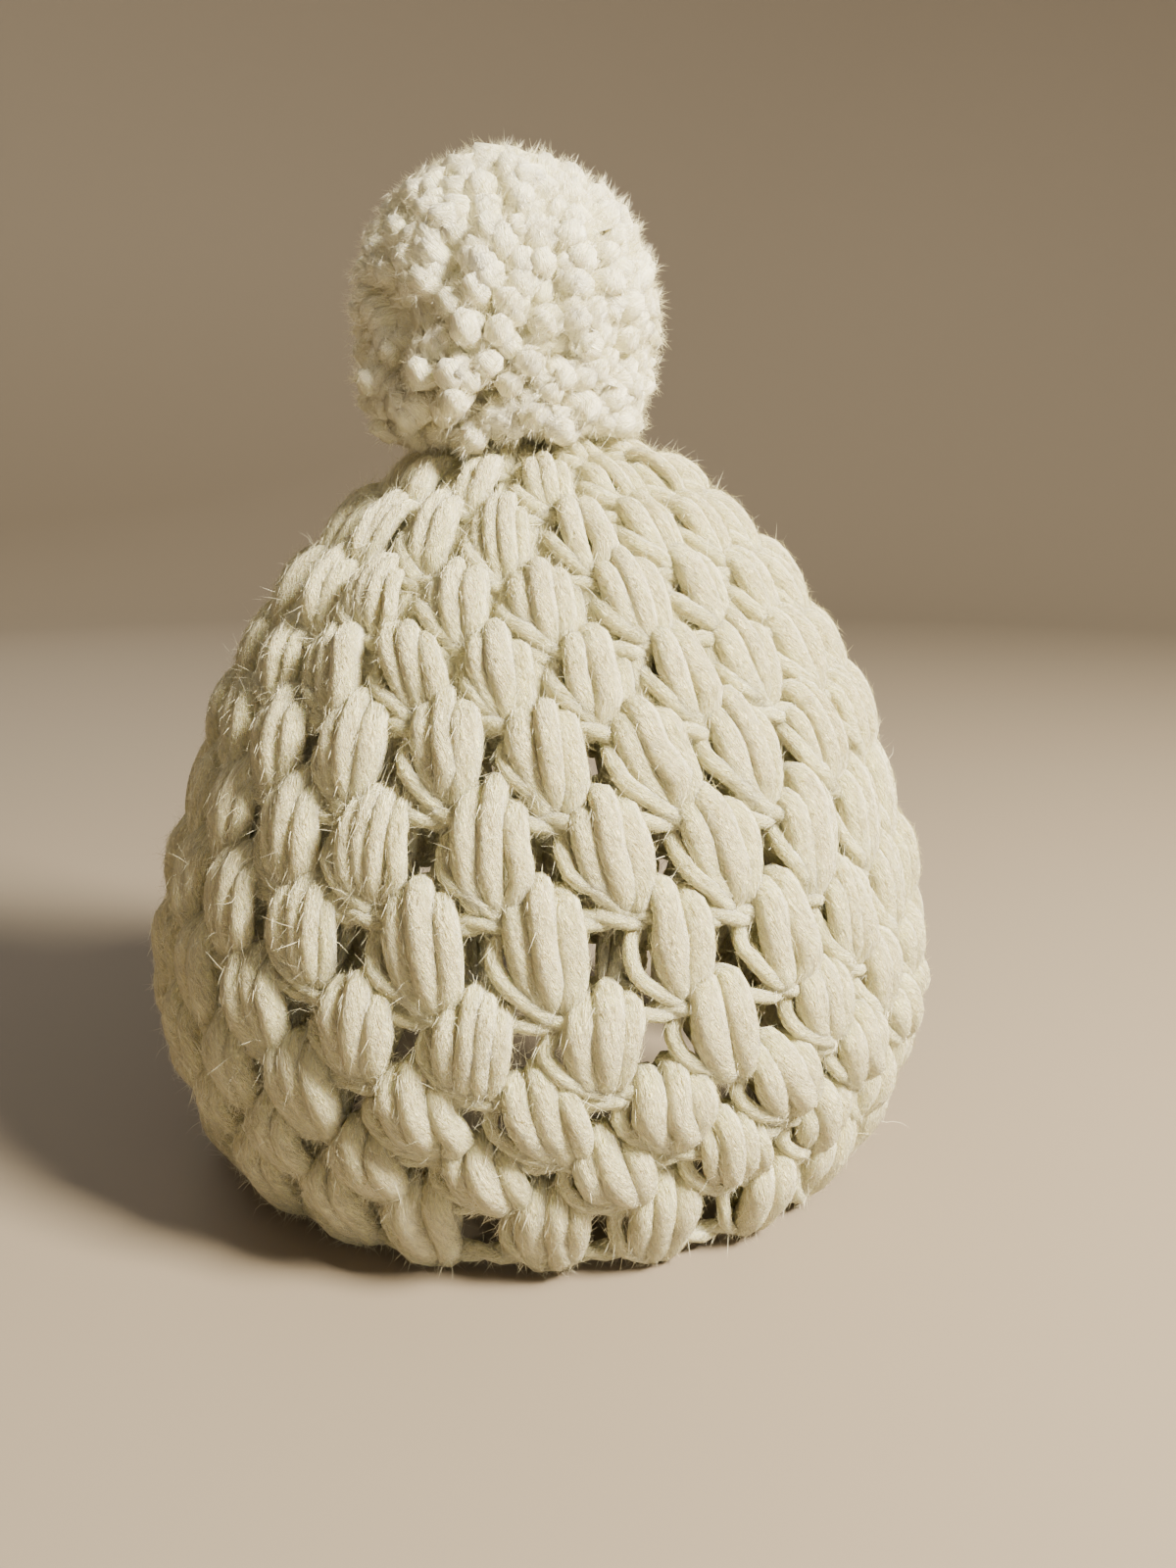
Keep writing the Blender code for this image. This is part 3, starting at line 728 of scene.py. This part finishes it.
def loose_fibres(count, deepest, shortest, longest, rise, curl):
    """Where that many fibres leave the yarn, and which way each one goes."""
    # Most show along the sides of a strand, where they cross the groove or the gap beside it.
    in_groove = np.clip(yarn_deep / GROOVE_DEEP - 0.5, 0, 1)
    wanted = more_at_left * (yarn_deep < deepest) * (1 + MORE_IN_GROOVES * in_groove)
    wanted *= LEAST_ELSEWHERE + np.exp(-(((yarn_outward - SIDE_FACES_OUT) / SIDE_WIDE) ** 2))
    chosen = hair_random.choice(len(yarn_points), count, p=wanted / wanted.sum())
    outward, along = yarn_facing[chosen], yarn_along[chosen]
    roots = yarn_points[chosen] - outward * DOWN_SUNK * MM
    roots += along * hair_random.uniform(-DOWN_ALONG, DOWN_ALONG, (count, 1)) * MM
    roots += hair_random.normal(0, DOWN_ASIDE, (count, 3)) * MM
    direction = outward * rise * hair_random.uniform(*DOWN_RISE, (count, 1))
    direction += along * np.sign(hair_random.normal(0, 1, (count, 1)))
    direction += hair_random.normal(0, DOWN_STRAYS, (count, 3))
    direction /= np.linalg.norm(direction, axis=1)[:, None]
    length = hair_random.uniform(shortest, longest, count) * MM
    return roots, direction, length, hair_random.normal(0, curl, (count, 3))


# Each kind: its name, how wide a hair is, its joints, and then how many there are, how deep the
# deepest starts (mm, loose ones), the shortest and longest (mm), how they rise and how they curl.
for name, thick, rings, fibres in (
    ("crochet_nap", 0.130 * MM, 1, lying_fibres(190000, 1.6, 4.2)),
    ("crochet_down", 0.100 * MM, 1, loose_fibres(118000, 9.0, 1.4, 4.8, 1.4, 0.0)),
    ("crochet_fuzz", 0.085 * MM, 2, loose_fibres(24000, 9.0, 3.0, 7.0, 1.6, 0.9)),
    ("stray_fibres", 0.075 * MM, 5, loose_fibres(2000, 6.0, 4.0, 9.0, 1.2, 1.0)),
):
    add_hairs(name, crochet_hair, thick, fibres, rings, "cosy_body")

# ---------------------------------------------------------------------------------------------
# The pompom: locks of cut yarn tied at the middle, teased out into a ball. At the front left they
# lie over in a whirl round a hollow, broad folds cover its top, and elsewhere the soft round ends
# stand close together. Its lowest locks rest on the crown.

POM_MIDDLE = np.array((-7.0, 0.0, 183.5))  # mm
POM_RADIUS = 34.3  # mm
POM_LOCKS = 740
WHIRL = np.array((-0.66, -0.72, -0.16))  # from the pompom's middle to the hollow
WHIRL /= np.linalg.norm(WHIRL)
SWEPT = np.array((-0.35, -0.15, 0.5))  # which way the locks lie over there
ROUND_THE_WHIRL = 0.6  # how much they also turn round the hollow
WHIRL_LIES = 9.0  # mm that the whirl carries a lock's end aside
FOLDED_OVER = np.array((-0.5, 0.3, 0))  # which way the folds on top lie
TOP_LIES = 8.0  # mm
END_STRAYS, WAY_STRAYS, END_SHORTER = 2.0, 0.05, 0.9  # mm, share of its way, mm
# How wide each place is: the hollow and its whirl as an angle, the top and the low ring as a share
# of the ball's height.
HOLLOW_WIDE, WHIRL_WIDE = 0.20, 0.85
TOP_WIDE = 0.35
LOW_RING, LOW_WIDE = -0.66, 0.22
HOLLOW_DEEP = 5.5  # mm
TUCKED_IN, TUCKED_CHANCE = 5.0, 0.35  # mm that some locks of the whirl lie deeper
HANGS, HANGS_IN_FRONT = 3.0, 8.5  # mm that the low locks hang over the crown
END_ROUND = 2.6  # mm, the radius of a lock's end
LOCK_RADIUS = (1.6, 2.4, 3.0, 3.3, 3.5, 3.4, 2.6)  # mm, from its root to its end
LOCK_RINGS = len(LOCK_RADIUS)
LOCK_SIDES, LOCK_TWIST = 8, 10.0  # number, turns in a metre
LOCK_SIZE = (0.72, 1.08)  # the least and the most, as a share of the usual lock
TOP_LARGER, WHIRL_LARGER = 0.25, 0.10
LOCK_UNEVEN = 0.05  # of its radius
LOCK_ROOT = 8.0  # mm from the pompom's middle
FULL_REACH = 1.2  # how soon a lock is at its full reach: above 1, its last part only lies over
LIES_OVER = 2.2  # how late along its length a lock lies over (a power)
LOCK_SHADE = 0.6  # how fast its tone turns to the painted crevice light, below the ball's surface
LIFT_ROUNDS = 3  # how often a lock is lifted off the crown, as each lift also moves it out
CROWN_CLEAR = 2.2  # mm, from the crown's face to the middle of a lock that lies on it
SPREAD = 1.1  # how far a lock moves out over the crown for each mm that the crown lifts it

# The locks' own cream; their crevice tone below is painted light, yellower, for the light scattered
# between the locks.
POM_CREAM = (0.97, 0.91, 0.66)
# The pompom's loose fibres: whiter than its locks, partly their own cream, partly a painted glint.
POM_HAIR_CREAM_AND_GLINT = (0.99, 0.95, 0.76)
POM_CREVICE_PAINTED_LIGHT = (0.98, 0.92, 0.60)
pompom_yarn = yarn_material(
    "pompom_yarn", POM_CREAM, POM_CREVICE_PAINTED_LIGHT, POM_CREVICE_PAINTED_LIGHT, fibre_bump=0.7, darkest=0.80, glow=0.3
)
pompom_locks = Skein(6)
lock_random = pompom_locks.random
golden_turn = math.pi * (3 - math.sqrt(5))
for number in range(POM_LOCKS):
    up = 1 - (2 * number + 1) / POM_LOCKS
    flat = math.sqrt(1 - up**2)
    way = np.array((flat * math.cos(number * golden_turn), flat * math.sin(number * golden_turn), up))
    way += lock_random.normal(0, WAY_STRAYS, 3)
    way /= np.linalg.norm(way)
    apart = math.acos(np.clip(way.dot(WHIRL), -1, 1))
    hollow = math.exp(-((apart / HOLLOW_WIDE) ** 2))
    whirl = math.exp(-((apart / WHIRL_WIDE) ** 2)) * (1 - hollow)
    on_top = math.exp(-(((1 - up) / TOP_WIDE) ** 2))
    low = math.exp(-(((up - LOW_RING) / LOW_WIDE) ** 2))
    round_it = np.cross(WHIRL, way)
    round_it /= np.linalg.norm(round_it)
    in_front = max(-way[1], 0) * min(max(0.8 - way[0], 0), 1)  # and less to the right
    hang = low * (HANGS + HANGS_IN_FRONT * in_front)
    reach = POM_RADIUS - END_ROUND - abs(lock_random.normal(0, END_SHORTER)) - HOLLOW_DEEP * hollow + hang
    if lock_random.random() < TUCKED_CHANCE:
        reach -= TUCKED_IN * whirl
    lies = (ROUND_THE_WHIRL * round_it + SWEPT) * WHIRL_LIES * whirl + FOLDED_OVER * TOP_LIES * on_top
    lies = lies + lock_random.normal(0, END_STRAYS, 3)
    shares = np.linspace(0, 1, LOCK_RINGS)[:, None]
    path = way * (LOCK_ROOT + (reach - LOCK_ROOT) * np.minimum(FULL_REACH * shares, 1))
    path = path + lies * shares**LIES_OVER
    path *= np.minimum(reach / np.linalg.norm(path, axis=1), 1)[:, None]
    # Locks that meet the crown lie out over it.
    for _ in range(LIFT_ROUNDS):
        crown_radius = np.linalg.norm((path + POM_MIDDLE)[:, :2], axis=1) * MM
        crown = np.interp(crown_radius, section_curve[:, 1], section_curve[:, 0]) / MM + CROWN_CLEAR
        lift = np.maximum(crown - path[:, 2] - POM_MIDDLE[2], 0)
        path[:, 2] += lift
        outward = path[:, :2] / np.maximum(np.linalg.norm(path[:, :2], axis=1), 1)[:, None]
        path[:, :2] += outward * (SPREAD * lift[:, None])
    depth = LOCK_SHADE * (POM_RADIUS - np.linalg.norm(path, axis=1))
    size = lock_random.uniform(*LOCK_SIZE) + TOP_LARGER * on_top + WHIRL_LARGER * whirl
    radii = np.array(LOCK_RADIUS) * size * (1 + lock_random.normal(0, LOCK_UNEVEN, LOCK_RINGS))
    pompom_locks.add((path + POM_MIDDLE) * MM, radii, LOCK_SIDES, depth, turns_per_metre=LOCK_TWIST)
# The wound middle of the ball, which shows between the locks as a warm tone: painted crevice light, given
# by its depth.
POM_CORE = 28.5  # mm
CORE_RINGS, CORE_SIDES, CORE_DEPTH = 15, 24, 5.0
core_heights = np.linspace(-POM_CORE, POM_CORE, CORE_RINGS)
core_path = np.stack((core_heights * 0, core_heights * 0, core_heights), axis=1) + POM_MIDDLE
core_radii = np.sqrt(np.maximum(POM_CORE**2 - core_heights**2, 1.0))
pompom_locks.add(core_path * MM, core_radii, CORE_SIDES, CORE_DEPTH + core_radii)
pompom_locks.piece("pompom_locks", pompom_yarn, "pompom", "pompom_yarn")

# The cut ends are teased out, so that short soft fibres cover every lock.
POM_HAIRS = 180000
POM_HAIR_WIDE = 0.110 * MM
POM_HAIR_LENGTH = (0.9, 3.1)  # mm
POM_DARKEST_HAIR = 0.8
POM_HAIR_LIFT = (0.1, 1.1)  # how much it stands off its lock, the least and the most
POM_HAIR_ALONG, POM_HAIR_AWAY, POM_HAIR_STRAYS = 0.9, 0.3, 0.7
POM_HAIR_SUNK, POM_HAIR_ASIDE = 0.2, 0.35  # mm
INNERMOST_HAIR = 24 * MM  # from the pompom's middle
lock_points, lock_facing, lock_along = (
    np.concatenate(getattr(pompom_locks, kind)) for kind in ("points", "facing", "along")
)
from_middle = lock_points - POM_MIDDLE * MM
showing = np.linalg.norm(from_middle, axis=1) > INNERMOST_HAIR
chosen = lock_random.choice(np.flatnonzero(showing), POM_HAIRS)
away = from_middle[chosen] / np.linalg.norm(from_middle[chosen], axis=1)[:, None]
way = lock_facing[chosen] * lock_random.uniform(*POM_HAIR_LIFT, (POM_HAIRS, 1))
way += lock_along[chosen] * POM_HAIR_ALONG
way += away * POM_HAIR_AWAY + lock_random.normal(0, POM_HAIR_STRAYS, (POM_HAIRS, 3))
way /= np.linalg.norm(way, axis=1)[:, None]
roots = lock_points[chosen] - lock_facing[chosen] * POM_HAIR_SUNK * MM
roots += lock_random.normal(0, POM_HAIR_ASIDE, (POM_HAIRS, 3)) * MM
length = lock_random.uniform(*POM_HAIR_LENGTH, POM_HAIRS) * MM
hairs = (roots, way, length, np.zeros((POM_HAIRS, 3)))
pompom_hair = hair_material("pompom_hair", POM_HAIR_CREAM_AND_GLINT, POM_DARKEST_HAIR)
add_hairs("pompom_down", pompom_hair, POM_HAIR_WIDE, hairs, 1, "pompom")

# ---------------------------------------------------------------------------------------------
# The floor and the backdrop: one plain pale round sheet with a dull coat of paint. It lies flat
# under the cosy and curves up on every side.

FLOOR_RADIUS, CURVE_RADIUS, WALL_TOP = 1.15, 0.5, 2.2  # m
PAINT_COLOUR = (0.22, 0.18, 0.135, 1.0)
SWEEP_STEPS = 12
ROUND_STEPS = 96
sweep = [(0.0, 0.0), (FLOOR_RADIUS, 0.0)]
for step in range(1, SWEEP_STEPS + 1):
    angle = math.pi / 2 * step / SWEEP_STEPS
    sweep.append((FLOOR_RADIUS + CURVE_RADIUS * math.sin(angle), CURVE_RADIUS * (1 - math.cos(angle))))
sweep.append((FLOOR_RADIUS + CURVE_RADIUS, WALL_TOP))
floor_mesh = bpy.data.meshes.new("floor")
floor_shape = bmesh.new()
edge = [floor_shape.verts.new((out, 0.0, up)) for out, up in sweep]
edge = edge + [floor_shape.edges.new(pair) for pair in zip(edge, edge[1:])]
bmesh.ops.spin(
    floor_shape, geom=edge, axis=(0, 0, 1), cent=(0, 0, 0), angle=2 * math.pi, steps=ROUND_STEPS
)
bmesh.ops.remove_doubles(floor_shape, verts=floor_shape.verts, dist=0.1 * MM)
bmesh.ops.recalc_face_normals(floor_shape, faces=floor_shape.faces)
floor_shape.to_mesh(floor_mesh)
floor_shape.free()
floor_mesh.shade_smooth()
floor = bpy.data.objects.new("floor", floor_mesh)
bpy.context.scene.collection.objects.link(floor)
paint = bpy.data.materials.new("pale_paint")
paint.use_nodes = True
paint_shader = paint.node_tree.nodes["Principled BSDF"]
paint_shader.inputs["Base Color"].default_value = PAINT_COLOUR
paint_shader.inputs["Roughness"].default_value = 0.7
floor_mesh.materials.append(paint)

# ---------------------------------------------------------------------------------------------
# The light: a soft warm lamp from the upper right, as in the photograph, a dim one in front that
# opens the shadows between the puffs, and a dim one behind for the cosy's back.


def add_lamp(name, place, aim, power, size, colour):
    """A square soft lamp that points at its aim and isn't seen itself."""
    light = bpy.data.lights.new(name, "AREA")
    light.energy = power
    light.size = size
    light.color = colour
    lamp = bpy.data.objects.new(name, light)
    lamp.location = place
    lamp.rotation_euler = (Vector(aim) - Vector(place)).to_track_quat("-Z", "Y").to_euler()
    lamp.visible_camera = False
    bpy.context.scene.collection.objects.link(lamp)


add_lamp("key", (0.64, -0.42, 0.75), aim=(0, 0, 0.09), power=65.0, size=0.25, colour=(1.0, 0.915, 0.73))
add_lamp("fill", (0.40, -1.0, 0.35), aim=(0, 0, 0.09), power=2.6, size=0.7, colour=(1.0, 0.94, 0.82))
add_lamp("back", (-0.60, 0.90, 0.70), aim=(0, 0, 0.10), power=4.5, size=0.8, colour=(1.0, 0.94, 0.82))
world = bpy.data.worlds.new("studio")
world.use_nodes = True
world.node_tree.nodes["Background"].inputs["Color"].default_value = (0.75, 0.74, 0.72, 1.0)
world.node_tree.nodes["Background"].inputs["Strength"].default_value = 0.36
bpy.context.scene.world = world

# ---------------------------------------------------------------------------------------------
# The camera: close in front of the cosy, a little above its middle, and tilted down, as in the
# photograph. Its lens takes in the whole cosy with the floor before it.

LOOKS_DOWN, LOOKS_RIGHT = 13.0, 1.9  # degrees
camera_data = bpy.data.cameras.new("camera")
camera_data.lens = 31.5
camera_data.sensor_width = 36.0
camera_data.clip_start = 0.01
camera = bpy.data.objects.new("camera", camera_data)
camera.location = (0.0, -0.310, 0.1525)
camera.rotation_euler = (math.radians(90 - LOOKS_DOWN), 0.0, math.radians(-LOOKS_RIGHT))
bpy.context.scene.collection.objects.link(camera)
bpy.context.scene.camera = camera
